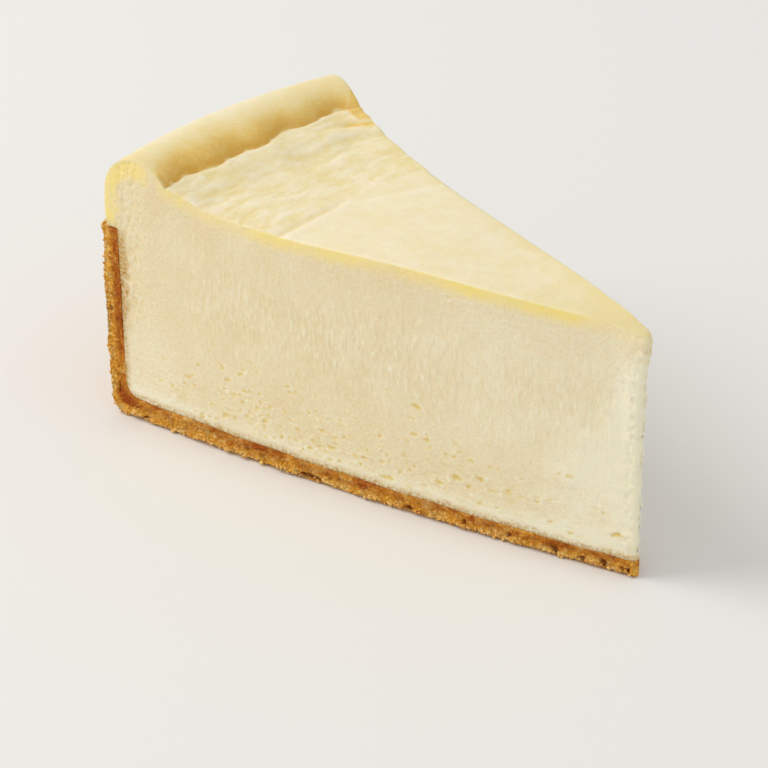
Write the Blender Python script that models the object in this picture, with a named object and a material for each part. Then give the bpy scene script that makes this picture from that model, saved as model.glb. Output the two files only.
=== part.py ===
"""A wedge cut from a baked cheesecake, standing on its base.

Two solids, in metres, with +Z up and +X towards the wedge's point:

crumb_crust     the pressed biscuit-crumb base with its upturned side wall, an L in section
cheese_filling  the baked filling that the crust holds, with its raised rim and sunk top

Each solid is a gridded block bent into shape. A place in the cake is given by its inset,
which is how far in it lies from the cake's edge, its height, and its share of the wedge's
half angle, from -1 on the far cut to 1 on the near one. The function place turns these into
coordinates, so both solids lie between the same two cuts and round off in the same point.
"""

from math import cos, exp, pi, radians, sin, tan

import bmesh
import bpy
from mathutils import Matrix, Vector, noise

MM = 0.001

# The whole cake and the wedge cut from it
CAKE_RADIUS = 127.0 * MM
WEDGE_ANGLE = radians(27.5)
# Radius of the wedge's upright edge, which a knife never leaves quite sharp
POINT_RADIUS = 1.2 * MM
# The knife bends the cuts: how far each face's middle stands out from a plane
NEAR_BOW_AT_BASE = 2.8 * MM
NEAR_BOW_AT_TOP = 2.3 * MM
FAR_BOW = -0.6 * MM

# The crumb crust
WALL_HEIGHT = 42.5 * MM
WALL_THICKNESS = 3.8 * MM
WALL_INSET_AT_TOP = 0.2 * MM
WALL_INSET_AT_BASE = 1.6 * MM
BASE_THICKNESS_AT_EDGE = 5.0 * MM
BASE_THICKNESS_AT_POINT = 3.5 * MM
BASE_WAVE = 0.3 * MM
BASE_WAVE_LENGTH = 19.0 * MM
OUTER_CORNER_RADIUS = 3.2 * MM
INNER_CORNER_RADIUS = 3.6 * MM
CRAG_DEPTH = 0.7 * MM
CRAG_SIZE = 4.2 * MM
LOWER_EDGE_WEAR = 0.7 * MM

# The gap that keeps the filling off the crust
GAP = 0.3 * MM

# The filling's side above the crust, and its rim, a roll with an elliptical section
SIDE_INSET = 1.2 * MM
SIDE_BULGE = 0.3 * MM
# How far into the cuts the grid still follows the stepped side
SIDE_REACH = 14.0 * MM
RIM_HEIGHT = 58.8 * MM
RIM_INSET = 9.0 * MM
RIM_RISE = 8.5 * MM
RIM_OUTER_WIDTH = 8.1 * MM
SHOULDER_ANGLE = radians(135)

# The crease where the rim meets the top, and the two waves that it wanders in:
# each is its swing, its length and its start, as shares of the way from near cut to far cut
CREASE_INSET = 17.0 * MM
CREASE_ANGLE = radians(33)
CREASE_WAVES = ((1.2 * MM, 0.96, 0.16), (0.6 * MM, 0.25, 0.19))

# The top inside the rim: sunk behind the crease and swelling towards the point
TOP_HEIGHT = 52.3 * MM
BANK_WIDTH = 8.0 * MM
DOME_RISE = 1.6 * MM
DOME_START = 38.0 * MM
DOME_LENGTH = 39.0 * MM
FAR_SWELL = 0.5 * MM
FAR_SWELL_CREST = 29.0 * MM
FAR_SWELL_LENGTH = 75.0 * MM
# The steps inside the crease lengthen by this power of the way to the point
TOP_GRADING = 1.2
# Low folds in the skin, side by side between the crease and the last fold
FOLD_HEIGHT = 0.35 * MM
FOLD_WIDTH = 6.0 * MM
FOLD_LENGTH = 26.0 * MM
LAST_FOLD_INSET = 47.0 * MM
FOLD_EDGE = 6.0 * MM

# The lip of skin that overhangs the wedge's point
LIP_REACH = 1.5 * MM
LIP_HEIGHT = 50.5 * MM
LIP_SPREAD = 5.0 * MM
LIP_DROOP = 1.0 * MM
# How far from the point its rounding still turns the rings of the grid
POINT_BLEND = 6.0 * MM

# Steps of the grids
ACROSS_STEPS = 26
BASE_STEPS = 40
CORNER_STEPS = 4
WALL_STEPS = 18
CRUST_DEPTH_STEPS = 3
RIM_STEPS = 10
CORNER_ROWS = 2
WALL_ROWS = 5
SIDE_ROWS = 2
SHOULDER_ROWS = 3

CRUST_COLOUR = (0.42, 0.19, 0.055)
FILLING_COLOUR = (0.83, 0.73, 0.50)
# Folds in the shading sharper than this stay sharp
SHARP_ANGLE = radians(35)


def mix(start, end, share):
    """The value or point at a share of the way from start to end."""
    return start + (end - start) * share


def smooth(share):
    """A share from 0 to 1, eased at both ends."""
    share = min(max(share, 0.0), 1.0)
    return share * share * (3 - 2 * share)


def along(stretches, step):
    """The point at a number of steps along stretches, each given as (steps, curve from 0 to 1)."""
    for steps, curve in stretches[:-1]:
        if step <= steps:
            return curve(step / steps)
        step -= steps
    steps, curve = stretches[-1]
    return curve(step / steps)


def steps_in(stretches):
    """How many steps the stretches have together."""
    return sum(steps for steps, _ in stretches)


def arc(centre, radius, start, end):
    """A curve from 0 to 1 along an arc in the section. An angle of 0 points inwards, pi / 2 up."""

    def curve(share):
        angle = mix(start, end, share)
        return centre + radius * Vector((cos(angle), sin(angle)))

    return curve


# The wedge in plan

HALF_ANGLE = WEDGE_ANGLE / 2
POINT_TANGENT = POINT_RADIUS / tan(HALF_ANGLE)
POINT_CENTRE = POINT_RADIUS / sin(HALF_ANGLE)
POINT_INSET = CAKE_RADIUS - POINT_TANGENT


def bow(radius, height, share):
    """How far the cuts stand out sideways at a radius and height, scaled to the share."""
    way = (radius - POINT_TANGENT) / (CAKE_RADIUS - POINT_TANGENT)
    near = mix(NEAR_BOW_AT_BASE, NEAR_BOW_AT_TOP, height / TOP_HEIGHT)
    return share * 4 * way * (1 - way) * (near if share > 0 else FAR_BOW)


def lip(height):
    """How far the skin's lip overhangs the point at a height."""
    return LIP_REACH * exp(-(((height - LIP_HEIGHT) / LIP_SPREAD) ** 2))


def place(inset, height, share):
    """The coordinates of a place in the cake, measured from the cake's centre."""
    radius = CAKE_RADIUS - inset
    angle = share * HALF_ANGLE
    ray = Vector((-cos(angle), -sin(angle)))
    turn = share * (pi / 2 - HALF_ANGLE)
    rounding = Vector((POINT_RADIUS * cos(turn) - POINT_CENTRE + lip(height), -POINT_RADIUS * sin(turn)))
    nearness = smooth(1 - (radius - POINT_TANGENT) / POINT_BLEND)
    plan = ray * radius + (rounding - ray * POINT_TANGENT) * nearness
    return Vector((plan.x, plan.y - bow(radius, height, share), height))


# The crust's section

WALL_TAPER = (WALL_INSET_AT_BASE - WALL_INSET_AT_TOP) / WALL_HEIGHT


def wall_inset(height):
    """The inset of the crust's outer face, which leans in towards its foot."""
    return WALL_INSET_AT_BASE - WALL_TAPER * height


def base_top(inset):
    """The height of the base's upper face, which thins towards the point and waves a little."""
    slope = mix(BASE_THICKNESS_AT_EDGE, BASE_THICKNESS_AT_POINT, inset / CAKE_RADIUS)
    return slope + BASE_WAVE * sin(2 * pi * inset / BASE_WAVE_LENGTH)


def inner_line(offset):
    """The crust's inner line moved by an offset into the filling, from the wall's top down and in to the point."""
    face = WALL_THICKNESS + offset
    radius = INNER_CORNER_RADIUS - offset
    foot_height = base_top(WALL_INSET_AT_BASE + face + radius) + offset + radius
    foot = Vector((wall_inset(foot_height) + face, foot_height))
    top = Vector((wall_inset(WALL_HEIGHT) + face, WALL_HEIGHT))
    corner_centre = foot + Vector((radius, 0))

    def base(share):
        inset = mix(corner_centre.x, POINT_INSET, share)
        return Vector((inset, base_top(inset) + offset))

    return (
        (WALL_STEPS, lambda share: mix(top, foot, share)),
        (CORNER_STEPS, arc(corner_centre, radius, pi, 1.5 * pi)),
        (BASE_STEPS, base),
    )


def outer_line():
    """The crust's outer line, from the wall's top down and along the underside to the point."""
    foot = Vector((wall_inset(OUTER_CORNER_RADIUS), OUTER_CORNER_RADIUS))
    top = Vector((wall_inset(WALL_HEIGHT), WALL_HEIGHT))
    corner_centre = foot + Vector((OUTER_CORNER_RADIUS, 0))
    heel = corner_centre - Vector((0, OUTER_CORNER_RADIUS))
    return (
        (WALL_STEPS, lambda share: mix(top, foot, share)),
        (CORNER_STEPS, arc(corner_centre, OUTER_CORNER_RADIUS, pi, 1.5 * pi)),
        (BASE_STEPS, lambda share: mix(heel, Vector((POINT_INSET, 0)), share)),
    )


# The filling's section

RIM_CENTRE = Vector((RIM_INSET, RIM_HEIGHT - RIM_RISE))


def crease_inset(share):
    """The inset of the crease, which wanders on its way round the cake."""
    way = (1 - share) / 2
    return CREASE_INSET + sum(swing * sin(2 * pi * (way - start) / length) for swing, length, start in CREASE_WAVES)


def rim(angle, share):
    """A point on the rim's roll at an angle. An angle of 0 points inwards and pi / 2 up."""
    inner_width = (crease_inset(share) - RIM_INSET) / cos(CREASE_ANGLE)
    width = inner_width if angle < pi / 2 else RIM_OUTER_WIDTH
    return RIM_CENTRE + Vector((width * cos(angle), RIM_RISE * sin(angle)))


def skin_fold(inset, share):
    """The height of the low folds in the skin, which run along the rim and die out at the last one."""
    arc_length = share * HALF_ANGLE * (CAKE_RADIUS - inset)
    fold = noise.noise(Vector((inset / FOLD_WIDTH, arc_length / FOLD_LENGTH, 0)))
    start = smooth((inset - CREASE_INSET) / FOLD_EDGE)
    end = smooth((LAST_FOLD_INSET - inset) / FOLD_EDGE)
    return FOLD_HEIGHT * fold * start * end


def top_height(inset, share):
    """The height of the top inside the crease."""
    crease = crease_inset(share)
    bank = (rim(CREASE_ANGLE, share).y - TOP_HEIGHT) * exp(-(((inset - crease) / BANK_WIDTH) ** 2))
    dome = DOME_RISE * smooth((inset - DOME_START) / DOME_LENGTH)
    swell = FAR_SWELL * cos(2 * pi * (inset - FAR_SWELL_CREST) / FAR_SWELL_LENGTH) * max(-share, 0)
    swell *= smooth((inset - crease) / BANK_WIDTH)
    droop = LIP_DROOP * smooth(1 - (POINT_INSET - inset) / POINT_BLEND)
    return TOP_HEIGHT + bank + dome + swell + skin_fold(inset, share) - droop


def floor_line():
    """The filling's underside, from the middle of its rounded corner in to the point."""
    _, corner, base = inner_line(GAP)
    return ((CORNER_ROWS, lambda share: corner[1](mix(0.5, 1, share))), base)


def roof_line(share):
    """The filling's top at one share of the angle, from the rim's shoulder over the crease to the point."""

    def top(way):
        inset = mix(crease_inset(share), POINT_INSET, way**TOP_GRADING)
        return Vector((inset, top_height(inset, share)))

    return (
        (RIM_STEPS, lambda way: rim(mix(SHOULDER_ANGLE, CREASE_ANGLE, way), share)),
        (steps_in(floor_line()) - RIM_STEPS, top),
    )


def side_line(share):
    """The filling's outer side, up from its corner, out over the crust's wall and up to the rim's shoulder."""
    wall, corner, _ = inner_line(GAP)
    ledge_height = WALL_HEIGHT + GAP
    under = wall[1](0)
    under.y = ledge_height
    over = Vector((SIDE_INSET, ledge_height))
    springing = rim(pi, share)

    def side(way):
        return mix(over, springing, way) - Vector((SIDE_BULGE * sin(pi * way), 0))

    return (
        (CORNER_ROWS, lambda way: corner[1](mix(0.5, 0, way))),
        (WALL_ROWS, lambda way: mix(wall[1](1), under, way)),
        (1, lambda way: mix(under, over, way)),
        (SIDE_ROWS, side),
        (SHOULDER_ROWS, lambda way: rim(mix(pi, SHOULDER_ANGLE, way), share)),
    )


def filling_section(step, row, share):
    """The filling's point at a step in from its side and a row up from its floor."""
    floor, roof, side = floor_line(), roof_line(share), side_line(share)
    rise = row / steps_in(side)
    here = mix(along(floor, step), along(roof, step), rise)
    at_side = mix(along(floor, 0), along(roof, 0), rise)
    fade = exp(-(((here - at_side).x / SIDE_REACH) ** 2))
    return here + (along(side, row) - at_side) * fade


# The solids


def gridded_block(steps):
    """A closed box whose corners lie at 0 and at the steps, with its faces gridded one step apart."""
    mesh = bmesh.new()
    bmesh.ops.create_cube(mesh, size=1.0, matrix=Matrix.Translation((0.5, 0.5, 0.5)))
    for axis, count in enumerate(steps):
        edges = [edge for edge in mesh.edges if abs(edge.verts[0].co[axis] - edge.verts[1].co[axis]) > 0.5]
        bmesh.ops.subdivide_edges(mesh, edges=edges, cuts=count - 1, use_grid_fill=True)
    bmesh.ops.scale(mesh, vec=steps, verts=mesh.verts)
    return mesh


def share_of(step):
    """The share of the half angle at a step across the wedge."""
    return 2 * step / ACROSS_STEPS - 1


def crust_mesh():
    """The crust, a block bent round the corner of its L, with a craggy outside and cuts."""
    inner, outer = inner_line(0), outer_line()
    mesh = gridded_block((steps_in(outer), ACROSS_STEPS, CRUST_DEPTH_STEPS))
    craggy, worn = [], []
    for vert in mesh.verts:
        step, across, depth = (round(value) for value in vert.co)
        on_cut = across in (0, ACROSS_STEPS)
        on_underside = depth == 0 and step >= WALL_STEPS + CORNER_STEPS
        if on_underside and on_cut:
            worn.append(vert)
        elif on_cut and depth < CRUST_DEPTH_STEPS or depth == 0 and not on_underside:
            craggy.append(vert)
        point = mix(along(outer, step), along(inner, step), depth / CRUST_DEPTH_STEPS)
        vert.co = place(point.x, point.y, share_of(across))
    bmesh.ops.reverse_faces(mesh, faces=mesh.faces)
    mesh.normal_update()
    moves = {vert: vert.normal * CRAG_DEPTH * noise.noise(vert.co / CRAG_SIZE) for vert in craggy}
    for vert, move in moves.items():
        vert.co += move
    for vert in worn:
        vert.co.z = LOWER_EDGE_WEAR * (1 + noise.noise(vert.co / CRAG_SIZE))
    return mesh


def filling_mesh():
    """The filling, a block drawn out to its floor, its rim and top, and its stepped side."""
    mesh = gridded_block((steps_in(floor_line()), ACROSS_STEPS, steps_in(side_line(0))))
    for vert in mesh.verts:
        step, across, row = (round(value) for value in vert.co)
        share = share_of(across)
        point = filling_section(step, row, share)
        vert.co = place(point.x, point.y, share)
    bmesh.ops.reverse_faces(mesh, faces=mesh.faces)
    return mesh


def material(name, colour, roughness):
    """A plain finish of one colour."""
    made = bpy.data.materials.new(name)
    made.use_nodes = True
    shader = made.node_tree.nodes["Principled BSDF"]
    shader.inputs["Base Color"].default_value = (*colour, 1)
    shader.inputs["Roughness"].default_value = roughness
    shader.inputs["Metallic"].default_value = 0.0
    return made


def add_object(name, mesh, finish, collection):
    """A named object made from a bmesh, shaded smooth up to its real edges."""
    data = bpy.data.meshes.new(name)
    mesh.to_mesh(data)
    mesh.free()
    data.materials.append(finish)
    data.shade_smooth()
    data.set_sharp_from_angle(angle=SHARP_ANGLE)
    made = bpy.data.objects.new(name, data)
    collection.objects.link(made)
    return made


def centre_on_origin(objects):
    """Moves the meshes together, so that the middle of their box stands on the origin."""
    places = [vert.co for part in objects for vert in part.data.vertices]
    low = Vector([min(point[axis] for point in places) for axis in range(3)])
    high = Vector([max(point[axis] for point in places) for axis in range(3)])
    middle = (low + high) / 2
    shift = Matrix.Translation((-middle.x, -middle.y, -low.z))
    for part in objects:
        part.data.transform(shift)


def main():
    for old in list(bpy.data.objects):
        bpy.data.objects.remove(old)
    collection = bpy.data.collections.new("cheesecake_slice")
    bpy.context.scene.collection.children.link(collection)
    crust_finish = material("baked_biscuit_crumb", CRUST_COLOUR, 0.8)
    filling_finish = material("baked_cheese_filling", FILLING_COLOUR, 0.55)
    crust = add_object("crumb_crust", crust_mesh(), crust_finish, collection)
    filling = add_object("cheese_filling", filling_mesh(), filling_finish, collection)
    centre_on_origin([crust, filling])


main()
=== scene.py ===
"""A slice of baked cheesecake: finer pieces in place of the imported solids, their finishes, and the studio.

A place in the cake is given by its inset, which is how far in it lies from the cake's edge, its height,
and its share of the wedge's half angle, from -1 on the far cut to 1 on the near one. WedgePlan.place turns
these into coordinates, so both pieces lie between the same two cuts and round off in the same point.
Sections are arrays of (inset, height). Lengths are in metres, and MM turns millimetres into metres.
"""

import logging
from collections.abc import Callable, Sequence
from dataclasses import dataclass, replace
from enum import Enum
from functools import partial
from math import cos, pi, radians, sin, tan
from random import Random

import bmesh
import bpy
import numpy as np
from mathutils import Matrix, Vector, kdtree, noise

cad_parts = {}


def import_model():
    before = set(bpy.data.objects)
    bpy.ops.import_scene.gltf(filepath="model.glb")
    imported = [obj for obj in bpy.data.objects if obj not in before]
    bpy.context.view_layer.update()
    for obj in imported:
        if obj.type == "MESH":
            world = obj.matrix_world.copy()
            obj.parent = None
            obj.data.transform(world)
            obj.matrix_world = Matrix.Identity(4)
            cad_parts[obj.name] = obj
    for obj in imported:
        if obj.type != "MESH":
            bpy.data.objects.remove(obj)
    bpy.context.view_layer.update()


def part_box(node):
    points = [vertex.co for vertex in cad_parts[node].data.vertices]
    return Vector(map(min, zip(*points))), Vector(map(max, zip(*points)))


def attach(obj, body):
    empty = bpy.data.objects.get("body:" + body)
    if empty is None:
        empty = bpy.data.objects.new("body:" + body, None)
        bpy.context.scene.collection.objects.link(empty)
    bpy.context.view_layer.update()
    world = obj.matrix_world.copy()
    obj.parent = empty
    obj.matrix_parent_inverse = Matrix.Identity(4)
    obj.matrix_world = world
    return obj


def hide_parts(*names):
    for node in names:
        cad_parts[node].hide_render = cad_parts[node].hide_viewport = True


LOG = logging.getLogger("cheesecake_slice")
MM = 0.001
# How near to a line of a grid still counts as on it, in steps
NEAR = 0.01

Array = np.ndarray
Curve = Callable[[Array], Array]
Stretches = Sequence[tuple[float, Curve]]


class Slot(Enum):
    """The record's material slots."""

    CRUMB = "biscuit_crumb"
    FILLING = "baked_filling"


# Shared sums on arrays


def mix(start: Array, end: Array, share: Array) -> Array:
    """The value at a share of the way from start to end."""
    return start + (end - start) * share


def between(start: Array, end: Array, share: Array) -> Array:
    """The section points at shares of the way from one point to another."""
    return start + (np.asarray(end) - start) * share[:, None]


def smooth(share: Array) -> Array:
    """A share from 0 to 1, eased at both ends."""
    share = np.clip(share, 0.0, 1.0)
    return share * share * (3 - 2 * share)


def rise(value: Array, start: float, width: float) -> Array:
    """How far a value is on its way from a start to a width further on, from 0 to 1 and eased at both ends."""
    return smooth((value - start) / width)


def swell(value: Array, centre: Array, width: float) -> Array:
    """A bell of height 1 round a centre."""
    return np.exp(-(((value - centre) / width) ** 2))


def stack(*columns: Array) -> Array:
    """Columns of numbers side by side, as one array of points."""
    return np.stack(np.broadcast_arrays(*columns), axis=1)


def noise_at(places: Array, size: float | tuple[float, ...], seed: float = 0.0) -> Array:
    """Smooth noise at places.

    Args:
        places: The points, in metres.
        size: The size of its swells in metres, or one for each axis.
        seed: An offset that gives another draw of the same noise.

    Returns:
        Values from about -1 to 1.
    """
    return np.array([noise.noise(spot) for spot in (places / np.array(size) + seed).tolist()])


def arc(centre: Array, radius: float, start: float, end: float) -> Curve:
    """A curve from 0 to 1 along an arc in the section. An angle of 0 points inwards, pi / 2 up."""

    def curve(share: Array) -> Array:
        """The arc's points."""
        angle = mix(start, end, share)
        return centre + radius * stack(np.cos(angle), np.sin(angle))

    return curve


def line(start: Array, end: Array) -> Curve:
    """A curve from 0 to 1 along a straight line in the section."""
    return lambda share: between(start, end, share)


def along(stretches: Stretches, step: Array) -> Array:
    """The section points at numbers of steps along stretches, each given as (steps, curve from 0 to 1)."""
    start = 0.0
    points = None
    for steps, curve in stretches:
        here = curve(np.clip((step - start) / steps, 0, 1))
        points = here if points is None else np.where((step > start)[:, None], here, points)
        start += steps
    return points


# Meshes


def gridded_block(steps: Sequence[int]) -> bmesh.types.BMesh:
    """A closed box whose corners lie at 0 and at the steps, with its faces gridded one step apart."""
    mesh = bmesh.new()
    bmesh.ops.create_cube(mesh, size=1.0, matrix=Matrix.Translation((0.5, 0.5, 0.5)))
    for axis, count in enumerate(steps):
        edges = [edge for edge in mesh.edges if abs(edge.verts[0].co[axis] - edge.verts[1].co[axis]) > 0.5]
        bmesh.ops.subdivide_edges(mesh, edges=edges, cuts=count - 1, use_grid_fill=True)
    bmesh.ops.scale(mesh, vec=steps, verts=mesh.verts)
    return mesh


def refine(mesh: bmesh.types.BMesh, belongs: Callable[[Vector], bool]) -> None:
    """Halves the grid of the faces whose every corner belongs."""
    faces = [face for face in mesh.faces if all(belongs(vert.co) for vert in face.verts)]
    chosen = {edge for face in faces for edge in face.edges}
    edges = [edge for edge in mesh.edges if edge in chosen]
    bmesh.ops.subdivide_edges(mesh, edges=edges, cuts=1, use_grid_fill=True)


def places_of(mesh: bmesh.types.BMesh) -> Array:
    """The places of a mesh's vertices, in order."""
    return np.array([vert.co for vert in mesh.verts])


def normals_of(mesh: bmesh.types.BMesh) -> Array:
    """The outward normals of a mesh's vertices, in order."""
    mesh.normal_update()
    return np.array([vert.normal for vert in mesh.verts])


def places_of_piece(piece: bpy.types.Object) -> Array:
    """The places of a piece's vertices, in order."""
    flat = np.zeros(len(piece.data.vertices) * 3)
    piece.data.vertices.foreach_get("co", flat)
    return flat.reshape(-1, 3)


def put(mesh: bmesh.types.BMesh, places: Array) -> None:
    """Moves a mesh's vertices to places, in order."""
    for vert, spot in zip(mesh.verts, places.tolist()):
        vert.co = spot


def within_solids(places: Array) -> Array:
    """Places in the row frame, held inside the box of the two solids."""
    boxes = np.array([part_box(name) for name in ("crumb_crust", "cheese_filling")])
    return np.clip(places, boxes[:, 0].min(axis=0), boxes[:, 1].max(axis=0))


def even_out(mesh: bmesh.types.BMesh, faces: list[bmesh.types.BMFace]) -> None:
    """Joins the corners of flat-lying faces anew, as evenly shaped triangles."""
    made = bmesh.ops.triangulate(mesh, faces=faces)["faces"]
    flat = set(made)
    inner = [edge for edge in mesh.edges if flat.issuperset(edge.link_faces)]
    bmesh.ops.beautify_fill(mesh, faces=made, edges=inner, method="AREA")


def soften(mesh: bmesh.types.BMesh, chosen: Array, rounds: int) -> None:
    """Rounds the chosen vertices' corner off, a little more in each round."""
    verts = [vert for vert, wanted in zip(mesh.verts, chosen.tolist()) if wanted]
    axes = {"use_axis_x": True, "use_axis_y": True, "use_axis_z": True}
    for _ in range(rounds):
        bmesh.ops.smooth_vert(mesh, verts=verts, factor=0.5, **axes)


def shown(name: str, data: bpy.types.ID) -> bpy.types.Object:
    """Puts a mesh, a light or a camera into the scene as an object."""
    made = bpy.data.objects.new(name, data)
    bpy.context.scene.collection.objects.link(made)
    return made


def make_piece(
    name: str,
    mesh: bmesh.types.BMesh,
    finishes: Sequence[bpy.types.Material],
    slot: Slot,
    values: dict[str, Array],
) -> bpy.types.Object:
    """Makes a piece that rides on the root body.

    Args:
        name: The piece's name.
        mesh: Its mesh, in the row frame, which is freed.
        finishes: Its materials, in the order of its faces' material numbers.
        slot: The record's slot that its finish stands for, which is not used.
        values: Numbers or colours for each vertex, which its materials read by name.

    Returns:
        The piece's object.
    """
    data = bpy.data.meshes.new(name)
    mesh.to_mesh(data)
    mesh.free()
    for finish in finishes:
        data.materials.append(finish)
    for label, numbers in values.items():
        vectors = numbers.ndim == 2
        layer = data.attributes.new(label, "FLOAT_VECTOR" if vectors else "FLOAT", "POINT")
        layer.data.foreach_set("vector" if vectors else "value", numbers.astype(np.float32).ravel())
    data.shade_smooth()
    piece = shown(name, data)
    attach(piece, "root")
    return piece


# Finishes


def linear(colour: str) -> tuple[float, float, float, float]:
    """An sRGB hex colour as linear light."""
    parts = [int(colour[start : start + 2], 16) / 255 for start in (0, 2, 4)]
    return (*[part / 12.92 if part <= 0.04045 else ((part + 0.055) / 1.055) ** 2.4 for part in parts], 1.0)


def add_node(
    tree: bpy.types.NodeTree,
    kind: str,
    settings: dict[str, object] | None = None,
    inputs: dict[str | int, object] | None = None,
    stops: Sequence[tuple[float, str]] = (),
) -> bpy.types.Node:
    """Adds a node with its settings and links.

    Args:
        tree: The material's or world's node tree.
        kind: The node's type name.
        settings: Its properties.
        inputs: For each input, a node or an output to link, an sRGB hex colour or a value to set.
        stops: A colour ramp's places and sRGB hex colours.

    Returns:
        The node.
    """
    node = tree.nodes.new(kind)
    for name, value in (settings or {}).items():
        setattr(node, name, value)
    for name, value in (inputs or {}).items():
        if isinstance(value, bpy.types.Node):
            value = value.outputs[0]
        if isinstance(value, bpy.types.NodeSocket):
            tree.links.new(value, node.inputs[name])
        else:
            node.inputs[name].default_value = linear(value) if isinstance(value, str) else value
    for number, (place, colour) in enumerate(stops):
        ramp = node.color_ramp.elements
        stop = ramp[number] if number < 2 else ramp.new(place)
        stop.position = place
        stop.color = linear(colour)
    return node


# Node types, each with the settings that several finishes share
SUM = ("ShaderNodeMath", {"operation": "ADD"})
TIMES_PLUS = ("ShaderNodeMath", {"operation": "MULTIPLY_ADD"})
TIMES_HELD = ("ShaderNodeMath", {"operation": "MULTIPLY", "use_clamp": True})
OVERLAY = ("ShaderNodeMix", {"data_type": "RGBA"})
RAMP = ("ShaderNodeValToRGB", None)
NOISE = ("ShaderNodeTexNoise", None)
BUMP = ("ShaderNodeBump", None)


class Finish:
    """A material, named for the real one that it starts from."""

    name: str

    def surface(self, tree: bpy.types.NodeTree) -> dict[str, object]:
        """Adds the nodes, and gives what goes into the shader's inputs."""
        raise NotImplementedError

    def make(self) -> bpy.types.Material:
        """The material."""
        material = bpy.data.materials.new(self.name)
        material.use_nodes = True
        tree = material.node_tree
        tree.nodes.clear()
        shader = add_node(tree, "ShaderNodeBsdfPrincipled", None, self.surface(tree))
        add_node(tree, "ShaderNodeOutputMaterial", None, {"Surface": shader})
        return material


@dataclass(frozen=True)
class BakedSkin(Finish):
    """The skin that dry oven heat sets on a soft-cheese batter.

    It gives the eye a satin, faintly leathery surface, pale cream where it stayed flat and golden
    where it turned towards the heat in the hollow of the rim. The gold there is partly painted shade of a
    slope that faces away from the light, and the skin's wrinkles, folds and far end carry painted shade too.
    """

    name: str = "baked_skin"
    cream: str = "F5EBCD"
    hollow: str = "ECDCA4"
    tan: str = "F2DEA8"
    golden: str = "EED080"
    deep: str = "E5B95A"

    def surface(self, tree: bpy.types.NodeTree) -> dict[str, object]:
        """Adds the skin's nodes, and gives what goes into the shader's inputs."""
        add = partial(add_node, tree)
        spot = add("ShaderNodeTexCoord").outputs["Object"]
        browning, hollow = (
            add("ShaderNodeAttribute", {"attribute_name": name}).outputs["Fac"]
            for name in ("browning", "hollow")
        )
        # Clouds 9 mm, blotches 2.2 mm and freckles 0.8 mm across
        clouds, blotches, freckles = (
            add(*NOISE, {"Vector": spot, "Scale": scale, "Detail": 2.0, "Roughness": 0.6})
            for scale in (110.0, 450.0, 1250.0)
        )
        mottle = -0.85
        for part, share in ((clouds, 0.7), (blotches, 0.6), (freckles, 0.5)):
            mottle = add(*TIMES_PLUS, {0: part, 1: share, 2: mottle})
        paleness = add(*SUM, {0: hollow, 1: mottle})
        yellow = add(*RAMP, {"Fac": paleness}, ((0.1, self.cream), (0.9, self.hollow)))
        # The brown share holds painted shade as well as the colour that the heat gave
        baked = add(*TIMES_PLUS, {0: mottle, 1: 0.8, 2: browning})
        brown = add(*RAMP, {"Fac": baked}, ((0.1, self.tan), (1.0, self.deep), (0.55, self.golden)))
        cover = add(*TIMES_HELD, {0: browning, 1: 1.7})
        colour = add(*OVERLAY, {0: cover, 6: yellow, 7: brown}).outputs[2]
        height = add(*SUM, {0: freckles, 1: blotches})
        return {
            "Base Color": colour,
            "Roughness": 0.5,
            "IOR": 1.42,
            "Specular IOR Level": 0.3,
            "Subsurface Weight": 0.25,
            "Subsurface Radius": (2.2, 1.3, 0.6),
            "Subsurface Scale": 1.2 * MM,
            "Normal": add(*BUMP, {"Strength": 0.5, "Distance": 0.12 * MM, "Height": height}),
        }


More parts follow.
